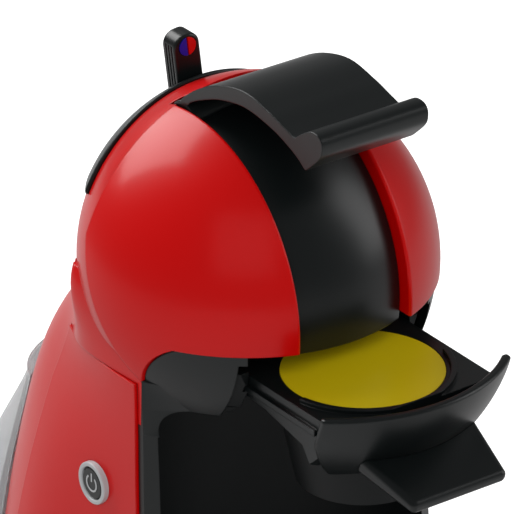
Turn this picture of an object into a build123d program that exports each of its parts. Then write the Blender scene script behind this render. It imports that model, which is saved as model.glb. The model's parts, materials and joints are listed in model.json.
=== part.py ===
from build123d import *
import math
import os

# Pod coffee machine, in millimetres. Every piece is drawn about the centre of the round head:
# +X to the machine's right, +Y to its back, +Z up. Export moves them into the part's own frame,
# whose origin lies on the table under the middle of the machine.

# ---------------------------------------------------------------- driving dimensions
HEAD_Z = 221.0            # centre of the round head above the table
HEAD_Y = -8.0             # centre of the round head in the part's own frame
FLOOR = -HEAD_Z           # the table, seen from the head's centre
WALL = 2.4                # plastic wall of the casings

HOOP_R = 59.2             # red hoop and the back of the head
DOME_R = 62.0             # side domes, on a centre of their own
DOME_CENTRE = (0, 6, -4)
BAND_HALF = 21.5          # half width of the black band between the domes
COVER_R = 57.0            # crown of the black front cover
HOOP_FRONT = 15.5         # where the domes end and the hoop starts
HOOP_BACK = 31.0          # where the hoop ends and the black top cover starts
TOP_COVER_LOW = 22.0      # lower edge of the top cover
SEAM = 0.3                # open seam between neighbouring casings
PANEL_PROUD = 1.0         # how far the side panels stand out from the back

CEILING = -34.0           # top of the cup bay
BAY_R = 52.5              # the bay's half-round back wall
BAY_Y = -18.8
BASE_TOP = FLOOR + 24.0
BASE_LOW = FLOOR + 3.0    # underside of the base, on its feet
TRAY_HALF = 50.0
TRAY_BACK = 8.0
GRID_TOP = BASE_TOP - 0.4
GRID_THICK = 2.4
GLAND_X = -38.0           # mains lead inlet, low at the back

DRAWER_OPEN = 40.0        # how far the drawer stands out at rest
DRAWER_HALF = 31.5
DRAWER_TOP = -18.5
CAPSULE_Y = -55.6
CAPSULE_R = 26.6
CAPSULE_TALL = 35.0
BREW_Y = CAPSULE_Y + DRAWER_OPEN

HINGE_Y, HINGE_Z = 13.5, 48.0   # lock handle's pin
HANDLE_HALF = 20.7
HANDLE_TURN = 24.0        # degrees from open to shut
PIN_R = 2.5
PIN_END = BAND_HALF + WALL + 2
LEVER_Y, LEVER_Z = 35.5, 36.0   # selector lever's front face and its pivot height
LEVER_HALF = 5.0
LEVER_THICK = 6.6
LEVER_TALL = 29.0
LEVER_LEAN = 7.0          # degrees that the lever leans towards cold at rest
MARK_UP = 25.0            # the mark's height above the lever's pivot
MARK_R = 3.2
BUTTON = (-58.9, 9.0, -69.5)    # power button on the left panel
TANK_TOP = -66.0
TANK_WALL = 2.2
TANK_GAP = 1.0            # between the tank and the red back
LID_HINGE_Y = 96.6
EAR_X = 12.0               # the two hinge ears on the tank's rear edge
VALVE_Y = 104.0

# Column sections: height, front corner x and y, side crease x and y, rear corner x and y, rear y
COLUMN = [
    (0, 52.0, -8.0, 47.5, 31, 38.5, 41.5, 58),
    (-24, 55.6, -12.5, 48.5, 36, 40.5, 49.0, 67),
    (-47, 56.2, -14.0, 51.5, 43, 43.0, 62.5, 75),
    (-70, 56.8, -15.0, 57.0, 46, 46.5, 68.0, 79),
    (-98, 57.3, -16.0, 61.5, 50, 51.0, 71.0, 81),
    (-124, 58.5, -17.2, 65.5, 51, 54.5, 72.3, 82),
    (-150, 60.0, -19.0, 69.0, 52, 57.5, 73.2, 82.6),
    (-174, 62.0, -24.0, 72.5, 52.5, 60.5, 74.2, 83),
    (BASE_TOP, 65.0, -32.0, 76.0, 53, 64.0, 75.0, 83.5),
]
# Tank sections: height, half width, centre y, half depth
TANK = [
    (TANK_TOP, 43.0, 66, 29),
    (-84, 46.0, 72, 34),
    (-104, 52.0, 76, 41),
    (-140, 60.0, 78, 45),
    (BASE_TOP + 0.6, 63.0, 78, 45),
]


# ---------------------------------------------------------------- helpers
def ball(radius, centre=(0, 0, 0)):
    return Pos(*centre) * Sphere(radius)


def block(x, y, z):
    """A box from three (low, high) pairs."""
    size = [high - low for low, high in (x, y, z)]
    middle = [(high + low) / 2 for low, high in (x, y, z)]
    return Pos(*middle) * Box(*size)


def drum(radius, y, z, height, x=0):
    """An upright cylinder whose foot is at z."""
    return Pos(x, y, z) * Cylinder(radius, height, align=(Align.CENTER, Align.CENTER, Align.MIN))


def bar_x(radius, y, z, x0, x1):
    """A cylinder along X from x0 to x1."""
    return Pos((x0 + x1) / 2, y, z) * Rot(0, 90, 0) * Cylinder(radius, x1 - x0)


def bar_y(radius, x, z, y0, y1):
    """A cylinder along Y from y0 to y1."""
    return Pos(x, (y0 + y1) / 2, z) * Rot(90, 0, 0) * Cylinder(radius, y1 - y0)


def side_prism(edges, x0, x1):
    """A side view, drawn in (y, z), carried across from x0 to x1."""
    face = Plane.YZ * make_face(edges)
    return Pos(x0, 0, 0) * extrude(face, x1 - x0)


def side_polygon(points, x0, x1):
    return side_prism(Polyline(*points, close=True), x0, x1)


def plan_prism(edges, z0, z1):
    """A plan view, drawn in (x, y), carried up from z0 to z1."""
    return Pos(0, 0, z0) * extrude(make_face(edges), z1 - z0)


def mirrored(shape):
    return mirror(shape, Plane.YZ)


def on_ball(edge, radius, centre=(0, 0, 0)):
    """Whether an edge lies on a ball's surface, judged at its middle."""
    return abs((edge @ 0.5 - Vector(*centre)).length - radius) < 0.05


def hose(points, bend, radius):
    """A tube along straight runs joined by round bends."""
    path = FilletPolyline(*points, radius=bend)
    start = Plane(origin=path @ 0, z_dir=path % 0)
    return sweep(start * Circle(radius), path)


def save(name, shape):
    solids = shape.solids()
    whole = solids[0] if len(solids) == 1 else Compound(children=list(solids))
    placed = Pos(0, HEAD_Y, HEAD_Z) * whole
    export_step(placed, f"parts/{name}.step")


# ---------------------------------------------------------------- shared volumes
def column_section(station, inset):
    z, front_x, front_y, side_x, side_y, corner_x, corner_y, rear_y = station
    nose = Vector(BAY_R, front_y - 3 + inset)
    front = Vector(front_x - inset, front_y + inset)
    side = Vector(side_x - inset, side_y)
    corner = Vector(corner_x - 0.7 * inset, corner_y - 0.7 * inset)
    rear = Vector(0, rear_y - inset)

    def left(point):
        return Vector(-point.X, point.Y)

    back = Spline(front, side, corner, rear, left(corner), left(side), left(front),
                  tangents=[(0.05, 1), (0.05, -1)])
    nose_line = Polyline(left(front), left(nose), nose, front)
    return Pos(0, 0, z) * make_face([back, nose_line])


def column_volume(inset):
    """The body below and behind the head, from its centre down to the base."""
    return loft([column_section(station, inset) for station in COLUMN])


def tank_volume(inset, low, high):
    """The tank's outer form, cut to a range of heights."""
    faces = [Pos(0, y, z) * Ellipse(half - inset, deep - inset) for z, half, y, deep in TANK]
    whole = loft(faces)
    return whole & block((-90, 90), (0, 140), (low, high))


def base_outline(inset=0.0):
    """Egg-shaped plan of the base, widest beside the column."""
    widest, deepest, middle = 79.0, 110.0, 15.0
    across = 1 - inset / widest
    along = 1 - inset / deepest
    right = [(52, -73), (69, -32), (79, 18), (78, 62), (60, 106)]
    left = [(-x, y) for x, y in reversed(right)]
    points = [(0, -95), *right, (0, 125), *left]
    return make_face(Spline(*[(x * across, middle + (y - middle) * along) for x, y in points], periodic=True))


def base_volume(z0, z1, inset=0.0):
    return Pos(0, 0, z0) * extrude(base_outline(inset), z1 - z0)


def bay_volume(radius, top, corner):
    """The cup bay: a half-round well with a rounded ceiling edge."""
    well = drum(radius, BAY_Y, BASE_TOP - 30, top - BASE_TOP + 30)
    return fillet(well.edges().group_by(Axis.Z)[-1], corner)


# The domes' lower and rear edges in side view, and the seams below them.
DOME_LOW = -8.0
DOME_TIP = (-12.5, -24.2)
PANEL_TOP_BACK = (37, -27)


def dome_region(gap):
    """Side view of the domes: flat lower edge, curved tail and an upright rear edge."""
    low = DOME_LOW + gap
    rear = HOOP_FRONT - gap
    tip = (DOME_TIP[0], DOME_TIP[1] + 1.6 * gap)
    low_front = (-26, low)
    rear_low = (rear, 18)
    return [Line((-80, low), low_front),
            ThreePointArc(low_front, (-17.6 + 0.7 * gap, -14.6 + gap), tip),
            ThreePointArc(tip, (2.2 - gap, -6 + gap), rear_low),
            Line(rear_low, (rear, 80)),
            Line((rear, 80), (-80, 80)),
            Line((-80, 80), (-80, low))]


def panel_region(gap):
    """Side view of the lower side panels."""
    creases = [(station[4] - gap, station[0]) for station in COLUMN if station[0] <= -47]
    fronts = [(station[2] + 3 + gap, station[0]) for station in COLUMN if station[0] <= -47]
    tip_y, tip_z = DOME_TIP
    back_y, back_z = PANEL_TOP_BACK
    top = [(tip_y + 2.5 + gap, tip_z - 2 - gap), (back_y - gap, back_z - gap)]
    return Polyline(*top, *creases, *reversed(fronts), close=True)


# ---------------------------------------------------------------- casings
def side_shell():
    """The right-hand dome, with its rim turned in towards the black band."""
    region = side_prism(dome_region(0.0), BAND_HALF, 80)
    skin = (ball(DOME_R, DOME_CENTRE) - ball(DOME_R - WALL, DOME_CENTRE)) & region
    rim = (ball(DOME_R, DOME_CENTRE) - ball(DOME_R - 7.5, DOME_CENTRE)) & region
    rim = rim & block((BAND_HALF, BAND_HALF + WALL), (-80, 80), (-80, 80))
    body = skin + rim
    edges = body.edges().filter_by(lambda edge: on_ball(edge, DOME_R, DOME_CENTRE)
                                   and abs((edge @ 0.5).X - BAND_HALF) < 0.1)
    return fillet(edges, 0.8) - bar_x(PIN_R, HINGE_Y, HINGE_Z, 0, PIN_END)


def rear_housing(outer, inner):
    """Hoop, neck and back in one continuous red moulding."""
    shell = outer - inner
    behind = side_polygon([(-80, 90), (110, 90), (110, BASE_TOP), (-80, BASE_TOP)], -90, 90)
    dome_gap = side_prism(dome_region(-SEAM), -90, 90)
    panel_gap = side_prism(panel_region(-SEAM), -90, 90)
    tip_y, tip_z = DOME_TIP
    front = side_polygon([(-80, -230), (30, -230), (30, CEILING - 6), (tip_y, CEILING - 6), (tip_y, tip_z),
                          (tip_y - 2, DOME_LOW - 2), (tip_y - 14, DOME_LOW + 2), (-80, DOME_LOW + 2)],
                         -90, 90)
    top = block((-80, 80), (HOOP_BACK - SEAM, 90), (TOP_COVER_LOW - SEAM, 90))
    pocket = bar_x(7.2, HINGE_Y, HINGE_Z, -HANDLE_HALF - 0.6, HANDLE_HALF + 0.6)
    return shell & (behind - front - top - dome_gap - panel_gap) - pocket


def top_cover():
    skin = ball(HOOP_R + 1.4) - ball(HOOP_R - 1.8)
    region = block((-80, 80), (HOOP_BACK, 90), (TOP_COVER_LOW, 90))
    cover = skin & region
    socket = bar_y(9.6, 0, LEVER_Z, LEVER_Y - 0.6, 90)
    slot = block((-10.2, 10.2), (LEVER_Y - 0.6, LEVER_Y + 7), (LEVER_Z, 60))
    edges = cover.edges().filter_by(lambda edge: on_ball(edge, HOOP_R + 1.4))
    return fillet(edges, 0.8) - socket - slot


def front_cover():
    """Black crowned cover between the domes, from the drawer slot over to the hinge."""
    skin = ball(COVER_R, DOME_CENTRE) - ball(COVER_R - WALL, DOME_CENTRE)
    region = side_polygon([(-80, -11), (-40, -11), (-20, 20), (HINGE_Y - 7.5, 30), (HINGE_Y - 7.5, 90),
                           (-80, 90)], -BAND_HALF + 0.2, BAND_HALF - 0.2)
    cover = skin & region
    return fillet(cover.edges().filter_by(lambda edge: on_ball(edge, COVER_R, DOME_CENTRE)), 0.8)


def side_panel(outer, inner):
    """The right-hand lower panel, standing a little proud, with rounded edges."""
    region = side_prism(panel_region(0.0), 30, 90)
    return (outer - inner) & region


def gusset():
    """Corner block where the right-hand arm flares out into its upright."""
    top = [(55.4, -12.4), (50.0, -22.0), (46.0, -19.0), (51.0, -9.5)]
    arm_foot = [(56.0, -13.2), (44.0, -23.6), (40.5, -20.0), (51.0, -9.5)]
    upright = [(56.2, -14.0), (BAY_R, -18.2), (50.0, -16.0), (51.0, -9.5)]
    heights = [DOME_TIP[1], CEILING, CEILING - 9]
    faces = [Pos(0, 0, z) * make_face(Polyline(*points, close=True))
             for z, points in zip(heights, (top, arm_foot, upright))]
    return loft(faces, ruled=True)


def bay_frame(outer):
    """Black frame round the cup bay: two uprights, and two arms under the domes."""
    fronts = [(station[2], station[0]) for station in COLUMN if station[0] <= -24]
    strip = [(y - 4, z) for y, z in fronts] + [(y + 2.6, z) for y, z in reversed(fronts)]
    uprights = outer & side_polygon(strip, -90, 90)
    uprights = uprights - bay_volume(BAY_R, CEILING, 7)
    uprights = uprights - block((-38, 38), (-60, 60), (-60, 0))
    low = DOME_LOW - SEAM
    skin = ball(DOME_R - 1, DOME_CENTRE) - ball(DOME_R - 3.6, DOME_CENTRE)
    tail = side_prism(dome_region(-SEAM), -90, 90)
    skin = (skin & block((-80, 80), (-80, DOME_TIP[0] + 0.5), (CEILING, low))) - tail
    reach = 80.0
    front_angle = math.radians(36.2)
    corner = (reach * math.sin(front_angle), DOME_CENTRE[1] - reach * math.cos(front_angle))
    wedge = plan_prism(Polyline((0, DOME_CENTRE[1]), corner, (reach, corner[1]), (reach, DOME_CENTRE[1]),
                                close=True), -80, 0)
    wedge = wedge - block((0, DRAWER_HALF + 1.8), (-80, 80), (-80, 20))
    arm = (skin & wedge) + gusset()
    arm = arm - bay_volume(BAY_R, CEILING, 7) - block((0, DRAWER_HALF + 1.8), (-80, 80), (-80, 20)) - tail
    shut_drawer = ball(HOOP_R + 0.7) & block((-38, 38), (-80, 0), (-39.2, -11.8))
    return uprights + arm + mirrored(arm) - shut_drawer


def bay_liner(inner, frame):
    """Matte black half-round wall and ceiling of the cup bay."""
    wall = bay_volume(BAY_R + 2.2, CEILING + 2.2, 8) - bay_volume(BAY_R, CEILING, 7)
    under_head = ball(DOME_R - 4, DOME_CENTRE) & block((-80, 80), (-80, BAY_Y), (CEILING, CEILING + 2.2))
    behind = block((-80, 80), (BAY_Y, 80), (BASE_TOP, 0)) & inner
    body = (wall & behind) + (under_head - bay_volume(BAY_R, CEILING, 7))
    slot = block((-33, 33), (-80, 18), (-40, 0))
    return body - slot - frame


def head_chassis():
    """Plate across the head that carries the heater, the valve and the injector guide."""
    room = ball(HOOP_R - WALL - 0.6) & ball(COVER_R - WALL - 1.2, DOME_CENTRE)
    plate = room & block((-60, 60), (-42, 43.5), (4, 7))
    guide = drum(9, BREW_Y, 4, 12)
    bore = drum(5.05, BREW_Y, 0, 30)
    posts = [drum(3.5, y, CEILING + 2.2, 4 - CEILING - 2.2, x) for x in (-40, 40) for y in (-6, 24)]
    body = plate + guide - bore
    for post in posts:
        body = body + post
    return body


# ---------------------------------------------------------------- lock handle and injector
def lock_handle():
    """Arched handle with a rolled pull across its free end, and a knuckle on its pin."""
    outline = [(14.5, 54.8), (6, 61.8), (-6, 68.0), (-20, 71.3), (-33, 69.4), (-42, 67.0), (-46.8, 66.2),
               (-50.5, 68.8), (-54.8, 71.3), (-58.8, 71.3), (-61.0, 68.8), (-60.6, 64.8), (-57, 60.4),
               (-52.6, 57.0), (-48.8, 59.0), (-44, 61.4), (-35, 64.2), (-21, 65.9), (-8, 63.4), (2, 58.2),
               (8.5, 53.2)]
    arch = side_prism(Spline(*outline, periodic=True), -HANDLE_HALF, HANDLE_HALF)
    knuckle = bar_x(6.6, HINGE_Y, HINGE_Z, -HANDLE_HALF, HANDLE_HALF)
    pin = Pos(0, HINGE_Y, HINGE_Z)
    cover_when_shut = pin * Rot(-HANDLE_TURN, 0, 0) * pin.inverse() * ball(COVER_R + 0.5, DOME_CENTRE)
    return (arch - cover_when_shut) + knuckle - bar_x(PIN_R + 0.05, HINGE_Y, HINGE_Z, -40, 40)


def hinge_pin():
    return bar_x(PIN_R, HINGE_Y, HINGE_Z, -PIN_END, PIN_END)


def pin_bosses():
    """Two eyes inside the domes that hold the handle's pin."""
    inner_end = BAND_HALF + WALL + 0.1
    outer_end = BAND_HALF + WALL + 4
    eye = bar_x(5.5, HINGE_Y, HINGE_Z, inner_end, outer_end)
    eye = eye & ball(HOOP_R - WALL - 0.4)
    post = block((inner_end, outer_end), (HINGE_Y - 3, HINGE_Y + 3), (30, HINGE_Z - 2))
    return (eye + post) - bar_x(PIN_R, HINGE_Y, HINGE_Z, 0, 40)


def injector_plate():
    plate = drum(23, BREW_Y, -8, 4)
    stem = drum(5, BREW_Y, -4.5, 26)
    return plate + stem - drum(1.2, BREW_Y, -10, 5)


def injector_seal():
    return drum(8, BREW_Y, -9.2, 1.2) - drum(1.2, BREW_Y, -12, 8)


def injector_needle():
    tip = Pos(0, BREW_Y, -9.6) * Cone(0.2, 1.2, 1.6, align=(Align.CENTER, Align.CENTER, Align.MIN))
    return tip + drum(1.2, BREW_Y, -8, 3)


# ---------------------------------------------------------------- selector lever
def leaning(shape):
    """Turns a lever piece, drawn upright, to its place at rest."""
    pivot = Pos(0, 0, LEVER_Z)
    return pivot * Rot(0, -LEVER_LEAN, 0) * pivot.inverse() * shape


def selector_lever():
    """Blade with ridged sides on a round drum that turns in the top cover."""
    face = Plane.XZ * Pos(0, LEVER_Z + LEVER_TALL / 2) * RectangleRounded(2 * LEVER_HALF, LEVER_TALL, 4.2)
    blade = Pos(0, LEVER_Y, 0) * extrude(face, -LEVER_THICK)
    blade = fillet(blade.edges().group_by(Axis.Y)[0], 1.0)
    blade = blade - bar_y(MARK_R, 0, LEVER_Z + MARK_UP, LEVER_Y - 1, LEVER_Y + 0.8)
    for place in (1.9, 3.4, 4.9):
        groove = block((LEVER_HALF - 0.6, LEVER_HALF + 1),
                       (LEVER_Y + place - 0.35, LEVER_Y + place + 0.35), (LEVER_Z + 8, LEVER_Z + 26))
        blade = blade - groove - mirrored(groove)
    hub = bar_y(9.2, 0, LEVER_Z, LEVER_Y - 0.3, LEVER_Y + 9) & ball(HOOP_R + 1.2)
    return hub + leaning(blade)


def lever_mark(side):
    """Half of the round temperature mark: side -1 is cold, +1 is hot."""
    disc = bar_y(MARK_R, 0, LEVER_Z + MARK_UP, LEVER_Y - 0.3, LEVER_Y + 0.8)
    half = block((0.25, 5), (LEVER_Y - 2, LEVER_Y + 2), (LEVER_Z, LEVER_Z + 40))
    return leaning(disc & (half if side > 0 else mirrored(half)))


def lever_spindle():
    return bar_y(2.5, 0, LEVER_Z, LEVER_Y - 15, LEVER_Y - 0.3)


def selector_valve():
    body = block((-11, 11), (LEVER_Y - 17, LEVER_Y - 1.2), (29.2, LEVER_Z + 4))
    outlet = bar_x(3, LEVER_Y - 12, LEVER_Z - 3, 11, 18)
    return body + outlet - bar_y(2.55, 0, LEVER_Z, 0, 60)


# ---------------------------------------------------------------- drawer and capsule
def drawer_front():
    """Curved wall that completes the ball when the drawer is shut."""
    centre = (0, -DRAWER_OPEN, 0)
    skin = ball(HOOP_R + 0.2, centre) - ball(HOOP_R - 2.8, centre)
    back_edge = side_polygon([(-120, -12.5), (-82.5, -12.5), (-74, -38.5), (-120, -38.5)], -37, 37)
    wall = skin & back_edge
    return fillet(wall.edges(), 1.0)


def drawer_tray():
    """Carriage with the capsule seat; its sides grow deeper towards the front."""
    sides = [(-24, DRAWER_TOP), (-84, DRAWER_TOP), (-84, -38.5), (-70, -36.5), (-66, -31), (-46, -27),
             (-24, -26)]
    body = side_polygon(sides, -DRAWER_HALF, DRAWER_HALF)
    body = body - (ball(200, (0, -DRAWER_OPEN, 0)) - ball(HOOP_R - 2.8, (0, -DRAWER_OPEN, 0)))
    hollow = side_polygon([(-80, DRAWER_TOP - 3), (-80, -60), (-28, -60), (-28, DRAWER_TOP - 3)],
                          -DRAWER_HALF + WALL, DRAWER_HALF - WALL)
    body = body - hollow
    collar = drum(CAPSULE_R, CAPSULE_Y, DRAWER_TOP - 14, 12)
    body = body + collar
    seat = drum(CAPSULE_R, CAPSULE_Y, DRAWER_TOP - 1.6, 10)
    well = drum(CAPSULE_R - 2.0, CAPSULE_Y, -80, 80) + drum(CAPSULE_R + 0.1, CAPSULE_Y, -80, 66 + DRAWER_TOP)
    ribs = block((DRAWER_HALF, DRAWER_HALF + 1.3), (-74, -26), (-24, -22))
    lip = drum(CAPSULE_R + 3.4, CAPSULE_Y, DRAWER_TOP - 1, 2.4)
    lip = lip - drum(CAPSULE_R + 1.4, CAPSULE_Y, DRAWER_TOP - 2, 8)
    lip = lip & block((-DRAWER_HALF, DRAWER_HALF), (-84, CAPSULE_Y - 6), (-60, 0))
    lip = lip - (ball(200, (0, -DRAWER_OPEN, 0)) - ball(HOOP_R - 2.8, (0, -DRAWER_OPEN, 0)))
    return body - seat - well + ribs + mirrored(ribs) + lip


def drawer_tongue():
    """Pull under the drawer front, thinner and narrower at its free end."""
    root = Plane(origin=(0, -84, -33.5), x_dir=(1, 0, 0), z_dir=(0, -1, -0.3))
    end = Plane(origin=(0, -106.8, -40.4), x_dir=(1, 0, 0), z_dir=(0, -1, -0.3))
    body = loft([root * RectangleRounded(45, 7.0, 2.4), end * RectangleRounded(37, 4.6, 2.1)])
    body = fillet(body.edges().group_by(Axis.Y)[0], 1.9)
    inside = ball(HOOP_R + 0.2, (0, -DRAWER_OPEN, 0))
    return body - inside


def capsule_cup():
    low = DRAWER_TOP - 1.6 - CAPSULE_TALL + 1.2
    rim = drum(CAPSULE_R - 0.1, CAPSULE_Y, DRAWER_TOP - 1.6, 1.2)
    outside = Pos(0, CAPSULE_Y, low) * Cone(19.5, 24.2, CAPSULE_TALL - 1.2,
                                           align=(Align.CENTER, Align.CENTER, Align.MIN))
    inside = Pos(0, CAPSULE_Y, low + 1.2) * Cone(18.4, 23.2, CAPSULE_TALL,
                                                align=(Align.CENTER, Align.CENTER, Align.MIN))
    spout = drum(4, CAPSULE_Y, low - 3, 4) - drum(1.2, CAPSULE_Y, low - 4, 8)
    return (rim + outside - inside) + spout


def capsule_lid():
    return drum(CAPSULE_R - 0.2, CAPSULE_Y, DRAWER_TOP - 0.4, 0.4)


def capsule_holder():
    """Cup under the carriage that hides the capsule and lets its spout through."""
    top = DRAWER_TOP - 14
    low = DRAWER_TOP - CAPSULE_TALL - 2.4
    outside = Pos(0, CAPSULE_Y, low) * Cone(21.6, CAPSULE_R, top - low,
                                           align=(Align.CENTER, Align.CENTER, Align.MIN))
    inside = Pos(0, CAPSULE_Y, low + 1.8) * Cone(20.1, CAPSULE_R - 1.7, top - low - 1.8,
                                                align=(Align.CENTER, Align.CENTER, Align.MIN))
    return outside - inside - drum(5, CAPSULE_Y, low - 5, 20)


def drawer_rail():
    """The right-hand rail, with a groove for the carriage's rib."""
    rail = block((DRAWER_HALF + 0.5, DRAWER_HALF + 4.5), (-38, 24), (CEILING + 2.2, -17))
    rail = rail & ball(DOME_R - 4.2, DOME_CENTRE)
    groove = block((DRAWER_HALF, DRAWER_HALF + 1.8), (-80, 20), (-24.3, -21.7))
    return rail - groove


# ---------------------------------------------------------------- heater, pump and hoses
def thermoblock():
    body = block((-26, 26), (0, 30), (7, 29))
    body = fillet(body.edges().filter_by(Axis.Z), 4)
    ports = bar_y(3, -14, 18, 30, 36) + bar_y(3, 14, 18, 30, 36)
    return body + ports


def thermostat():
    return drum(6, 10, 29, 4, -15) + drum(6, 10, 29, 4, 15)


def pump():
    body = drum(16, 59, -168, 62)
    coil = block((-13, 13), (41.0, 75.0), (-152, -124))
    outlet = drum(3.5, 59, -106, 8)
    inlet = drum(3.5, 59, -176, 8)
    return body + coil + outlet + inlet


def pump_mounts():
    """Two rubber rings that hold the pump, as separate solids."""
    ring = drum(19, 59, -164, 6) - drum(16, 59, -170, 20)
    return Compound(children=[ring, Pos(0, 0, 46) * ring])


def pump_bracket():
    plate = block((-30, 30), (54, 64), (BASE_TOP, -110))
    return plate - drum(19, 59, -164, 6) - drum(19, 59, -118, 6) - drum(16.1, 59, -177, 80) \
        - drum(3.6, 59, -210, 40)


def suction_hose():
    return hose([(0, 59, -176), (0, 59, -209), (0, 95.4, -209)], 8, 3)


def pressure_hose():
    return hose([(0, 59, -98), (0, 59, -30), (-14, 47, -2), (-14, 47, 18), (-14, 36, 18)], 5, 2.5)


# ---------------------------------------------------------------- power button
def button_ring():
    x, y, z = BUTTON
    ring = bar_x(7.3, y, z, x - 2.2, x + 5) - bar_x(5.7, y, z, x - 20, x + 20)
    return fillet(ring.edges().group_by(Axis.X)[0], 0.5)


def button_cap():
    x, y, z = BUTTON
    cap = bar_x(5.5, y, z, x - 1.8, x + 4.7)
    return fillet(cap.edges().group_by(Axis.X)[0], 0.8)


def button_spring():
    x, y, z = BUTTON
    turns = Helix(pitch=0.85, height=1.7, radius=2.6)
    wire = sweep(Plane(origin=turns @ 0, z_dir=turns % 0) * Circle(0.25), turns)
    return Pos(x + 5.1, y, z) * Rot(0, 90, 0) * wire


def switch_board():
    x, y, z = BUTTON
    return block((x + 7.5, x + 8.9), (y - 3.5, y + 16), (z - 14, z + 12))


# ---------------------------------------------------------------- water tank
def lid_barrel(radius, x0, x1):
    """Part of the lid's hinge barrel, along the tank's rear edge."""
    return bar_x(radius, LID_HINGE_Y, TANK_TOP + 1.6, x0, x1)


def water_tank(keep_out_outer, keep_out_inner):
    """Clear tank that hugs the red back and lifts straight up."""
    outside = tank_volume(0, BASE_TOP + 0.6, TANK_TOP) - keep_out_outer
    inside = tank_volume(TANK_WALL, BASE_TOP + 0.6 + 2.4, TANK_TOP + 1) - keep_out_inner
    body = outside - inside - drum(5.0, VALVE_Y, BASE_TOP - 4, 12)
    for x in (-EAR_X, EAR_X):
        ear = block((-1.6, 1.6), (LID_HINGE_Y - 2.6, LID_HINGE_Y + 1.6), (TANK_TOP - 5, TANK_TOP + 1.6))
        ear = ear + lid_barrel(1.6, -1.6, 1.6)
        body = body + Pos(x, 0, 0) * ear
    return body - lid_barrel(1.05, -20, 20)


def tank_lid(keep_out_outer):
    """Flat lid with a pin through the tank's two ears."""
    half, y, deep = TANK[0][1:]
    plate = Pos(0, y, TANK_TOP + 0.3) * extrude(Ellipse(half, deep), 2.6)
    plate = plate - keep_out_outer
    for x in (-EAR_X, EAR_X):
        plate = plate - block((x - 2, x + 2), (LID_HINGE_Y - 3, 140), (TANK_TOP - 5, TANK_TOP + 9))
    strip = block((-9.8, 9.8), (LID_HINGE_Y - 5, LID_HINGE_Y), (TANK_TOP + 0.3, TANK_TOP + 2.9))
    return plate + strip + lid_barrel(1.6, -9.8, 9.8) + lid_barrel(1.0, -14, 14)


def tank_valve():
    body = drum(4.95, VALVE_Y, BASE_TOP - 5, 9.6) + drum(7, VALVE_Y, BASE_TOP + 3.0, 2.4)
    return body - drum(1.6, VALVE_Y, BASE_TOP - 6, 20)


def tank_seal():
    return drum(5.9, VALVE_Y, BASE_TOP - 3, 2) - drum(4.95, VALVE_Y, BASE_TOP - 4, 8)


def tank_socket():
    ring = drum(8.6, VALVE_Y, BASE_TOP - 15, 14.8) - drum(6.1, VALVE_Y, BASE_TOP - 8, 20)
    return ring - drum(1.6, VALVE_Y, BASE_TOP - 20, 30)


# ---------------------------------------------------------------- base, tray and feet
def base_housing():
    body = base_volume(BASE_LOW + 3, BASE_TOP)
    body = fillet(body.edges().group_by(Axis.Z)[-1], 5)
    hollow = base_volume(BASE_LOW + 2, BASE_TOP - 3, 3) & block((-90, 90), (TRAY_BACK + 3.5, 140), (-300, 0))
    body = body - hollow
    slot = block((-TRAY_HALF - 0.5, TRAY_HALF + 0.5), (-140, TRAY_BACK + 0.5), (BASE_LOW + 6, 0))
    hole = drum(8.6, VALVE_Y, BASE_TOP - 11, 40)
    hose_hole = drum(3.3, 59, BASE_TOP - 5, 10)
    gland_hole = bar_y(6, GLAND_X, BASE_LOW + 13, 90, 140)
    return body - slot - hole - hose_hole - gland_hole


def screw_places():
    return [(x, y) for x in (-62, 62) for y in (0, 66)]


def base_plate():
    plate = base_volume(BASE_LOW, BASE_LOW + 3)
    for x, y in screw_places():
        plate = plate - drum(1.5, y, BASE_LOW - 1, 5, x)
    return plate


def foot_places():
    return [(x, y) for x in (-50, 50) for y in (-45, 85)]


def feet():
    return Compound(children=[drum(8, y, FLOOR, 3, x) for x, y in foot_places()])


def base_screws():
    """Four identical screws driven up through the base plate."""
    screws = []
    for x, y in screw_places():
        screws.append(drum(3, y, BASE_LOW - 1.2, 1.2, x) + drum(1.4, y, BASE_LOW - 1.2, 3, x))
    return Compound(children=screws)


def tray_region(gap, back, z0, z1):
    straight = block((-TRAY_HALF + gap, TRAY_HALF - gap), (-140, back), (z0, z1))
    return base_volume(z0, z1, gap) & straight


def drip_tray():
    """Pull-out tray; a ledge round its basin carries the grid."""
    low = BASE_LOW + 6.3
    body = tray_region(0, TRAY_BACK, low, BASE_TOP)
    body = fillet(body.edges().group_by(Axis.Z)[-1].sort_by(Axis.Y)[0:1], 3)
    basin = tray_region(5.4, TRAY_BACK - 5.4, low + 2.4, BASE_TOP + 1)
    rebate = tray_region(2.4, TRAY_BACK - 2.4, GRID_TOP - GRID_THICK - 0.02, BASE_TOP + 1)
    return body - basin - rebate


def cup_grid():
    """Slatted stand that lies on the tray's ledge."""
    plate = tray_region(2.8, TRAY_BACK - 2.8, GRID_TOP - GRID_THICK, GRID_TOP)
    reach = drum(BAY_R - 1, BAY_Y, BASE_LOW, 60) + block((-90, 90), (-140, BAY_Y), (BASE_LOW, 0))
    plate = plate & reach
    for row in range(10):
        y = -74 + row * 7.4
        half = 38 if row else 30
        for x0, x1 in ((-half, -2), (2, half)):
            plate = plate - block((x0, x1), (y, y + 3.8), (GRID_TOP - 5, GRID_TOP + 5))
    return plate


def cord_gland():
    """Short rubber sleeve where the mains lead enters, low at the back."""
    sleeve = bar_y(6, GLAND_X, BASE_LOW + 13, 108, 123)
    return sleeve - bar_y(3.4, GLAND_X, BASE_LOW + 13, 100, 140)


# ---------------------------------------------------------------- write the pieces
os.makedirs("parts", exist_ok=True)

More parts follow.
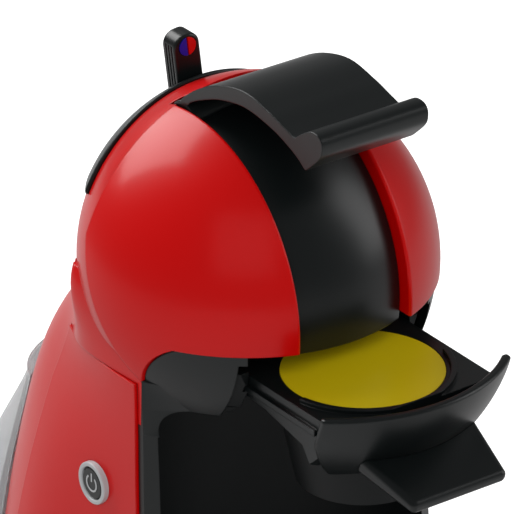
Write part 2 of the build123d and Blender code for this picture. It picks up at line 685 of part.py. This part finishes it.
column_outer = column_volume(0.0)
column_inner = column_volume(WALL) + block((-60, 60), (-20, 70), (BASE_TOP - 3, BASE_TOP + 0.5))
head_and_column = ball(HOOP_R) + column_outer
room_inside = ball(HOOP_R - WALL) + column_inner
tank_gap = column_volume(-TANK_GAP)
tank_gap_inner = column_volume(-TANK_GAP - TANK_WALL)

dome = side_shell()
panel = side_panel(column_volume(-PANEL_PROUD), room_inside)
ring_x, ring_y, ring_z = BUTTON
button_hole = bar_x(7.3, ring_y, ring_z, -90, -30)
back = rear_housing(head_and_column, room_inside)
frame = bay_frame(column_outer) - back
right_frame = frame & block((0, 90), (-90, 90), (-230, 90))

save("right_side_shell", dome)
save("left_side_shell", mirrored(dome))
save("rear_housing", back)
save("rear_top_cover", top_cover())
save("front_cover", front_cover())
save("right_side_panel", panel)
save("left_side_panel", mirrored(panel) - button_hole)
save("right_bay_frame", right_frame)
save("left_bay_frame", mirrored(right_frame))
save("cup_bay_liner", bay_liner(room_inside, frame))
save("head_chassis", head_chassis())

save("lock_handle", lock_handle())
save("handle_hinge_pin", hinge_pin())
boss = pin_bosses()
save("hinge_pin_bosses", Compound(children=[boss, mirrored(boss)]))
save("injector_plate", injector_plate())
save("injector_seal", injector_seal())
save("injector_needle", injector_needle())

save("selector_lever", selector_lever())
save("cold_mark", lever_mark(-1))
save("hot_mark", lever_mark(1))
save("lever_spindle", lever_spindle())
save("selector_valve", selector_valve())

save("drawer_front", drawer_front())
save("drawer_tray", drawer_tray())
save("drawer_tongue", drawer_tongue())
save("capsule_cup", capsule_cup())
save("capsule_lid", capsule_lid())
save("capsule_holder", capsule_holder())
rail = drawer_rail()
save("drawer_rails", Compound(children=[rail, mirrored(rail)]))

save("thermoblock", thermoblock())
save("thermostats", thermostat())
save("pump", pump())
save("pump_mounts", pump_mounts())
save("pump_bracket", pump_bracket())
save("suction_hose", suction_hose())
save("pressure_hose", pressure_hose())

save("button_ring", button_ring())
save("button_cap", button_cap())
save("button_spring", button_spring())
save("switch_board", switch_board())

save("water_tank", water_tank(tank_gap, tank_gap_inner))
save("tank_lid", tank_lid(tank_gap))
save("tank_valve", tank_valve())
save("tank_seal", tank_seal())
save("tank_socket", tank_socket())

save("base_housing", base_housing())
save("base_plate", base_plate())
save("feet", feet())
save("base_screws", base_screws())
save("drip_tray", drip_tray())
save("cup_grid", cup_grid())
save("cord_gland", cord_gland())
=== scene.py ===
"""Looks for a pod coffee machine: materials, small added pieces, a studio floor, lights and the camera."""
import json
import math

import bpy
from mathutils import Matrix, Vector


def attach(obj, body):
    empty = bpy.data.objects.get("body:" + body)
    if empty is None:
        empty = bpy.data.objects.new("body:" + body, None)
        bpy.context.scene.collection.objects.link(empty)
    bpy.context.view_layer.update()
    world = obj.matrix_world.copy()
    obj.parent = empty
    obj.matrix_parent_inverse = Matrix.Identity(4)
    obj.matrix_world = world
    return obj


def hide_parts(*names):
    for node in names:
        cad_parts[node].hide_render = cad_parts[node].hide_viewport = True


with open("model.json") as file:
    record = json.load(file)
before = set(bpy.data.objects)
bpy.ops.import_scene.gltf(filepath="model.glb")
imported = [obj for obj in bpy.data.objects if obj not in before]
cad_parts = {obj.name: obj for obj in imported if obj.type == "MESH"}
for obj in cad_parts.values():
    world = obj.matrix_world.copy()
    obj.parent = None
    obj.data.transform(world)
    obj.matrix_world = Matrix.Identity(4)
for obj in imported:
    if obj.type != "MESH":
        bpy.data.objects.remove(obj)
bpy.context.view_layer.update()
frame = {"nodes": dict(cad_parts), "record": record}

MM = 0.001
HEAD = Vector((0.0, -8.0, 221.0)) * MM      # centre of the round head in the part's own frame

# The camera looks at a point close to the head's centre.
AZIMUTH = math.radians(-36.0)
ELEVATION = math.radians(27.5)
DISTANCE = 2.0              # metres from the point it looks at
AIM_LEFT = 0.91 * MM        # how far that point lies from the head's centre
AIM_BELOW = 1.52 * MM
SENSOR_WIDTH = 36.0
LENS = 434.2412

FLOOR_HALF = 6.0            # metres
GRAIN_DEPTH = 0.0001        # height of the finest relief in the materials, in metres

# The lock handle, in mm about the head's centre.
HANDLE_HALF = 20.7          # half its width
HINGE_Y = 13.5
HINGE_Z = 48.0
KNUCKLE_R = 6.6
KNUCKLE_SIDES = 32
HANDLE_OUTLINE = [          # seen from the side: over the arch, round the pull and back underneath
    (14.5, 54.8), (6, 61.8), (-6, 68.0), (-20, 71.3), (-33, 69.4), (-42, 67.0), (-46.4, 65.9),
    (-47.4, 66.4), (-50.5, 68.8), (-54.8, 71.3), (-58.8, 71.3), (-60.9, 69.4), (-60.9, 66.0),
    (-59.4, 63.4), (-56, 60.0), (-52.8, 57.2), (-51.8, 57.2), (-48.8, 59.2), (-44, 61.4), (-35, 64.2),
    (-21, 65.9), (-8, 63.6), (1.5, 59.9), (8.4, 56.4), (11, 54.2)]

SIGN_PLACE = (-60.76, 9.0, -69.5)           # middle of the power button's face, in mm about the head's centre


# ------------------------------------------------------------------ camera, floor and light
def add_camera():
    toward = Vector((math.sin(AZIMUTH) * math.cos(ELEVATION),
                     -math.cos(AZIMUTH) * math.cos(ELEVATION),
                     math.sin(ELEVATION)))
    right = Vector((math.cos(AZIMUTH), math.sin(AZIMUTH), 0.0))
    up = toward.cross(right)
    target = HEAD - right * AIM_LEFT - up * AIM_BELOW
    data = bpy.data.cameras.new("camera")
    data.sensor_width = SENSOR_WIDTH
    data.lens = LENS
    data.clip_end = 20.0
    camera = bpy.data.objects.new("camera", data)
    turn = Matrix((right, up, toward)).transposed().to_4x4()
    camera.matrix_world = Matrix.Translation(target + toward * DISTANCE) @ turn
    bpy.context.scene.collection.objects.link(camera)
    bpy.context.scene.camera = camera


def add_floor(material):
    corners = [(-FLOOR_HALF, -FLOOR_HALF, 0), (FLOOR_HALF, -FLOOR_HALF, 0),
               (FLOOR_HALF, FLOOR_HALF, 0), (-FLOOR_HALF, FLOOR_HALF, 0)]
    mesh = bpy.data.meshes.new("floor")
    mesh.from_pydata(corners, [], [(0, 1, 2, 3)])
    mesh.materials.append(material)
    floor = bpy.data.objects.new("floor", mesh)
    bpy.context.scene.collection.objects.link(floor)


def add_area_light(name, position, size, power, in_reflections=True):
    """A rectangular light aimed at the head; position and size in metres, power in watts."""
    data = bpy.data.lights.new(name, "AREA")
    data.shape = "RECTANGLE"
    data.size, data.size_y = size
    data.energy = power
    light = bpy.data.objects.new(name, data)
    light.location = position
    light.rotation_euler = (HEAD - Vector(position)).to_track_quat("-Z", "Y").to_euler()
    light.visible_glossy = in_reflections
    bpy.context.scene.collection.objects.link(light)


def add_world(strength):
    world = bpy.data.worlds.new("studio")
    world.use_nodes = True
    set_inputs(world.node_tree.nodes["Background"], {"Color": (1.0, 1.0, 1.0, 1.0), "Strength": strength})
    bpy.context.scene.world = world


# ------------------------------------------------------------------ material building blocks
def set_inputs(node, values):
    for name, value in values.items():
        node.inputs[name].default_value = value


def add_node(tree, kind, values):
    node = tree.nodes.new(kind)
    set_inputs(node, values)
    return node


def new_material(name):
    """A new material, its node tree and its shader."""
    material = bpy.data.materials.new(name)
    material.use_nodes = True
    return material, material.node_tree, material.node_tree.nodes["Principled BSDF"]


def noise(tree, scale, detail, stretch=None):
    """Noise in the piece's own space, so that it stays in place when the piece moves."""
    place = tree.nodes.new("ShaderNodeTexCoord").outputs["Object"]
    if stretch is not None:
        mapping = add_node(tree, "ShaderNodeMapping", {"Scale": stretch})
        tree.links.new(place, mapping.inputs["Vector"])
        place = mapping.outputs["Vector"]
    texture = add_node(tree, "ShaderNodeTexNoise", {"Scale": scale, "Detail": detail})
    tree.links.new(place, texture.inputs["Vector"])
    return texture.outputs["Fac"]


def between(tree, factor, low, high):
    """A value that runs from low to high as the factor runs from 0 to 1."""
    spread = add_node(tree, "ShaderNodeMapRange", {"To Min": low, "To Max": high})
    tree.links.new(factor, spread.inputs["Value"])
    return spread.outputs["Result"]


def add_bump(tree, shader, height, strength):
    bump = add_node(tree, "ShaderNodeBump", {"Strength": strength, "Distance": GRAIN_DEPTH})
    tree.links.new(height, bump.inputs["Height"])
    tree.links.new(bump.outputs["Normal"], shader.inputs["Normal"])
    return bump


# ------------------------------------------------------------------ materials
def moulded_plastic(name, colour, roughness, coat=0.0, grain=0.0, grain_scale=1800.0, mottle=0.03,
                    shine=0.5, edge=0.0):
    """Moulded plastic: slight colour and gloss variation, fine grain, and edges shaded round over edge mm."""
    material, tree, shader = new_material(name)
    set_inputs(shader, {"Coat Weight": coat, "Coat Roughness": 0.15, "Specular IOR Level": shine})
    broad = noise(tree, 25.0, 3.0)
    tint = tree.nodes.new("ShaderNodeValToRGB")
    tint.color_ramp.elements[0].color = (*[c * (1 - mottle) for c in colour], 1)
    tint.color_ramp.elements[1].color = (*[min(1.0, c * (1 + mottle)) for c in colour], 1)
    tree.links.new(broad, tint.inputs["Fac"])
    tree.links.new(tint.outputs["Color"], shader.inputs["Base Color"])
    tree.links.new(between(tree, broad, roughness * 0.92, roughness * 1.08), shader.inputs["Roughness"])
    soft_edge = add_node(tree, "ShaderNodeBevel", {"Radius": edge * MM})
    soft_edge.samples = 4
    tree.links.new(soft_edge.outputs["Normal"], shader.inputs["Coat Normal"])
    bump = add_bump(tree, shader, noise(tree, grain_scale, 2.0), grain)
    tree.links.new(soft_edge.outputs["Normal"], bump.inputs["Normal"])
    return material


def metal(name, colour, roughness, brushed, stretch):
    """Bare metal with fine marks from brushing or casting."""
    material, tree, shader = new_material(name)
    set_inputs(shader, {"Metallic": 1.0, "Base Color": (*colour, 1)})
    marks = noise(tree, 1.0, 4.0, stretch)
    tree.links.new(between(tree, marks, roughness * 0.8, roughness * 1.25), shader.inputs["Roughness"])
    add_bump(tree, shader, marks, brushed)
    return material


def clear_plastic(name, colour, roughness, transmission):
    """Frosted clear plastic, a little uneven."""
    material, tree, shader = new_material(name)
    set_inputs(shader, {"Base Color": (*colour, 1), "Transmission Weight": transmission, "IOR": 1.45})
    haze = noise(tree, 60.0, 2.0)
    tree.links.new(between(tree, haze, roughness * 0.8, roughness * 1.2), shader.inputs["Roughness"])
    return material


def glowing_floor(name, colour, glow_seen, glow_cast):
    """White studio floor: it looks brighter to the camera than the light it casts on the machine."""
    material, tree, shader = new_material(name)
    set_inputs(shader, {"Base Color": (*colour, 1), "Roughness": 0.8, "Emission Color": (1, 1, 1, 1)})
    ray = tree.nodes.new("ShaderNodeLightPath")
    glow = between(tree, ray.outputs["Is Camera Ray"], glow_cast, glow_seen)
    tree.links.new(glow, shader.inputs["Emission Strength"])
    return material


MATERIALS = {
    "red_gloss": moulded_plastic("red_gloss", (0.55, 0.0, 0.0), 0.34, coat=0.22, mottle=0.02,
                                 shine=0.22, edge=0.7),
    "black_satin": moulded_plastic("black_satin", (0.0035, 0.005, 0.0052), 0.33, grain=0.10,
                                   shine=0.45, edge=0.6),
    "black_matte": moulded_plastic("black_matte", (0.003, 0.004, 0.0042), 0.5, grain=0.22,
                                   shine=0.28, edge=0.5),
    "capsule_plastic": moulded_plastic("capsule_plastic", (0.62, 0.42, 0.01), 0.4),
    "capsule_foil": moulded_plastic("capsule_foil", (0.66, 0.50, 0.004), 0.36, mottle=0.06),
    "mark_blue": moulded_plastic("mark_blue", (0.002, 0.008, 0.26), 0.3),
    "mark_red": moulded_plastic("mark_red", (0.55, 0.002, 0.002), 0.3),
    "ring_grey": moulded_plastic("ring_grey", (0.42, 0.43, 0.44), 0.32),
    "steel": metal("steel", (0.62, 0.62, 0.63), 0.3, 0.2, (40.0, 40.0, 2500.0)),
    "aluminium": metal("aluminium", (0.7, 0.7, 0.72), 0.42, 0.3, (900.0, 900.0, 900.0)),
    "rubber": moulded_plastic("rubber", (0.02, 0.02, 0.02), 0.7, grain=0.4, grain_scale=900.0),
    "tank_clear": clear_plastic("tank_clear", (0.86, 0.87, 0.88), 0.22, 0.75),
    "inner_plastic": moulded_plastic("inner_plastic", (0.45, 0.45, 0.44), 0.5, grain=0.2),
    "board_green": moulded_plastic("board_green", (0.015, 0.12, 0.05), 0.4),
}


def dress_nodes():
    """Every CAD node takes the material of its slot in the record."""
    slots = {row["node"]: row["material_slot"] for row in frame["record"]["subparts"]}
    for name, node in frame["nodes"].items():
        node.data.materials.clear()
        node.data.materials.append(MATERIALS[slots[name]])


# ------------------------------------------------------------------ added pieces
def smooth_loop(points, steps=6):
    """A closed Catmull-Rom line through the points."""
    count = len(points)
    line = []
    for i in range(count):
        before, start, end, after = (Vector(points[(i + k) % count]) for k in (-1, 0, 1, 2))
        slope = end - before
        square = 2 * before - 5 * start + 4 * end - after
        cube = 3 * start - before - 3 * end + after
        for step in range(steps):
            t = step / steps
            line.append(0.5 * (2 * start + slope * t + square * t ** 2 + cube * t ** 3))
    return line


def piece(name, vertices, faces, material_slot, body, smooth=True):
    """A separate mesh piece, drawn in mm about the head's centre, that moves with a body."""
    mesh = bpy.data.meshes.new(name)
    mesh.from_pydata([HEAD + Vector(v) * MM for v in vertices], [], faces)
    mesh.validate()
    mesh.materials.append(MATERIALS[material_slot])
    obj = bpy.data.objects.new(name, mesh)
    bpy.context.scene.collection.objects.link(obj)
    for polygon in mesh.polygons:
        polygon.use_smooth = smooth
    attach(obj, body)
    return obj


def rounded(obj, width, angle):
    """Round the edges that turn by more than the angle, in degrees, over a width in mm."""
    bevel = obj.modifiers.new("rounded_edges", "BEVEL")
    bevel.width = width * MM
    bevel.segments = 4
    bevel.limit_method = "ANGLE"
    bevel.angle_limit = math.radians(angle)
    bevel.harden_normals = True


def handle_bar(name, outline):
    """A bar as wide as the handle, with a closed outline of (y, z) points."""
    count = len(outline)
    vertices = [(x, y, z) for x in (-HANDLE_HALF, HANDLE_HALF) for y, z in outline]
    faces = [tuple(range(count)), tuple(reversed(range(count, 2 * count)))]
    faces += [(i, i + count, (i + 1) % count + count, (i + 1) % count) for i in range(count)]
    return piece(name, vertices, faces, "black_satin", "handle")


def lock_handle():
    """The arched handle with its pull, rounded at both ends, and the knuckle round its hinge pin."""
    handle = handle_bar("lock_handle_rolled", smooth_loop(HANDLE_OUTLINE))
    rounded(handle, 1.3, 60.0)
    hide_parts("lock_handle")
    turns = [2 * math.pi * i / KNUCKLE_SIDES for i in range(KNUCKLE_SIDES)]
    circle = [(HINGE_Y + KNUCKLE_R * math.cos(turn), HINGE_Z + KNUCKLE_R * math.sin(turn)) for turn in turns]
    knuckle = handle_bar("lock_handle_knuckle", circle)
    rounded(knuckle, 0.6, 40.0)


def power_symbol():
    """A plain power sign, an open ring with a bar in its gap, standing a hair proud of the button."""
    x, y, z = SIGN_PLACE
    radius = 2.7
    thick = 0.32                # half the width of its lines
    bar_low = 0.6
    bar_high = 3.6
    gap = math.radians(38)      # half the ring's opening
    steps = 36
    vertices = []
    faces = []
    for i in range(steps + 1):
        turn = math.pi / 2 + gap + (2 * math.pi - 2 * gap) * i / steps
        for r in (radius - thick, radius + thick):
            vertices.append((x, y + r * math.cos(turn), z + r * math.sin(turn)))
    for i in range(steps):
        faces.append((2 * i, 2 * i + 1, 2 * i + 3, 2 * i + 2))
    start = len(vertices)
    corners = [(-thick, bar_low), (thick, bar_low), (thick, bar_high), (-thick, bar_high)]
    vertices += [(x, y + dy, z + dz) for dy, dz in corners]
    faces.append((start, start + 1, start + 2, start + 3))
    sign = piece("power_sign", vertices, faces, "ring_grey", "button", smooth=False)
    body = sign.modifiers.new("thickness", "SOLIDIFY")
    body.thickness = 0.12 * MM


dress_nodes()
lock_handle()
power_symbol()
add_camera()
add_world(0.18)
add_floor(glowing_floor("floor", (0.55, 0.55, 0.55), glow_seen=0.85, glow_cast=0.08))
add_area_light("overhead", (-0.30, 1.35, 1.45), size=(1.3, 1.3), power=34)
add_area_light("front_left", (-1.2, -1.5, 1.5), size=(1.5, 1.5), power=29, in_reflections=False)
add_area_light("right_fill", (1.3, -0.8, 0.8), size=(0.7, 1.2), power=6)
bpy.context.scene.view_settings.view_transform = "Standard"
